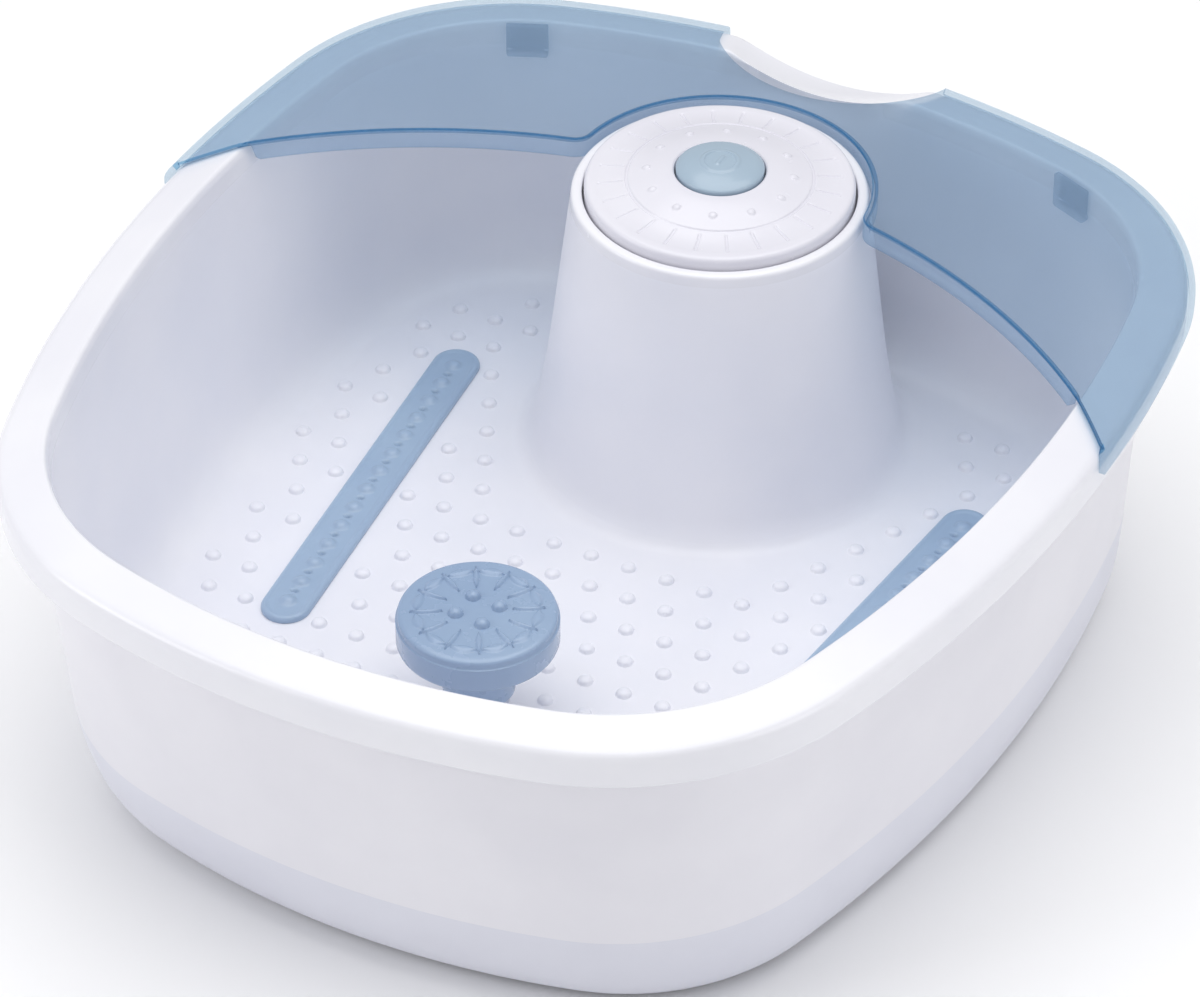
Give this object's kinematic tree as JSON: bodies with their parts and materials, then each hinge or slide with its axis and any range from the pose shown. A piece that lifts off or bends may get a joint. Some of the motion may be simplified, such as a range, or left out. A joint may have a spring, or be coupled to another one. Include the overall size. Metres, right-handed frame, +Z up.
{
  "type": "foot spa basin",
  "caption": "Foot spa basin with rounded rim, clear rear splash guard, central pedestal with push button, bubble strips and a push-on massage disc.",
  "frame": {"origin": "on the floor under the middle of the bounding box", "axes": "+X to the right seen from the front, +Y to the back where the pedestal is, +Z up"},
  "size_m": [0.3654, 0.404, 0.1566],
  "materials": {
    "white_tub": "glossy moulded ABS",
    "white_casing": "glossy moulded ABS",
    "white_cap": "satin gloss",
    "clear_blue": "transparent tinted plastic",
    "button_blue": "satin gloss",
    "disc_blue": "glossy",
    "strip_blue": "glossy",
    "grey_base": "fine texture",
    "ivory_plastic": "plain",
    "duct_grey": "plain",
    "black_plastic": "plain",
    "board_green": "circuit board",
    "foot_rubber": "matte",
    "seal_rubber": "matte",
    "steel": "zinc plated",
    "motor_steel": "plain",
    "aluminium": "plain",
    "brass": "plain"
  },
  "bodies": {
    "base": {"tub": "white_tub", "outer_casing": "white_casing", "base_plate": "grey_base", "rubber_feet": "foot_rubber", "base_screws": "steel", "cable_gland": "grey_base", "gland_nut": "grey_base", "terminal_block": "ivory_plastic", "pedestal_cap": "white_cap", "cap_seal": "seal_rubber", "button_spring": "steel", "control_board": "board_green", "button_switch": "black_plastic", "board_screws": "steel", "blower_bracket": "grey_base", "bracket_screws": "steel", "blower_motor": "motor_steel", "motor_screws": "steel", "blower_housing": "ivory_plastic", "air_manifold": "duct_grey", "heater_plate": "aluminium", "heating_element": "steel", "thermostat": "black_plastic", "vibration_motor": "motor_steel", "motor_clamp": "ivory_plastic", "clamp_screws": "steel", "air_channel_left": "duct_grey", "air_channel_right": "duct_grey", "strip_gasket_left": "seal_rubber", "strip_gasket_right": "seal_rubber", "bubble_strip_left": "strip_blue", "bubble_strip_right": "strip_blue"},
    "button": {"power_button": "button_blue"},
    "rotor": {"impeller": "ivory_plastic", "blower_shaft": "steel"},
    "vibrator": {"eccentric_weight": "brass", "vibration_shaft": "steel"},
    "guard": {"splash_guard": "clear_blue"},
    "disc": {"massage_disc": "disc_blue"}
  },
  "joints": [
    {"name": "button_press", "type": "slide", "parent": "base", "child": "button", "axis": [0, 0, -1], "range_m": [0, 0.0025], "stiffness_N_per_m": 1200, "springref_m": -0.001, "deforming": ["button_spring"]},
    {"name": "impeller_spin", "type": "hinge", "parent": "base", "child": "rotor", "pos_m": [0, 0.104, 0.06], "axis": [0, 0, 1], "continuous": true},
    {"name": "weight_spin", "type": "hinge", "parent": "base", "child": "vibrator", "pos_m": [0.028, -0.122, 0.0175], "axis": [1, 0, 0], "continuous": true},
    {"name": "guard_lift", "type": "slide", "parent": "base", "child": "guard", "axis": [0, 0, 1], "range_m": [0, 0.07]},
    {"name": "disc_lift", "type": "slide", "parent": "base", "child": "disc", "axis": [0, 0, 1], "range_m": [0, 0.045]}
  ]
}
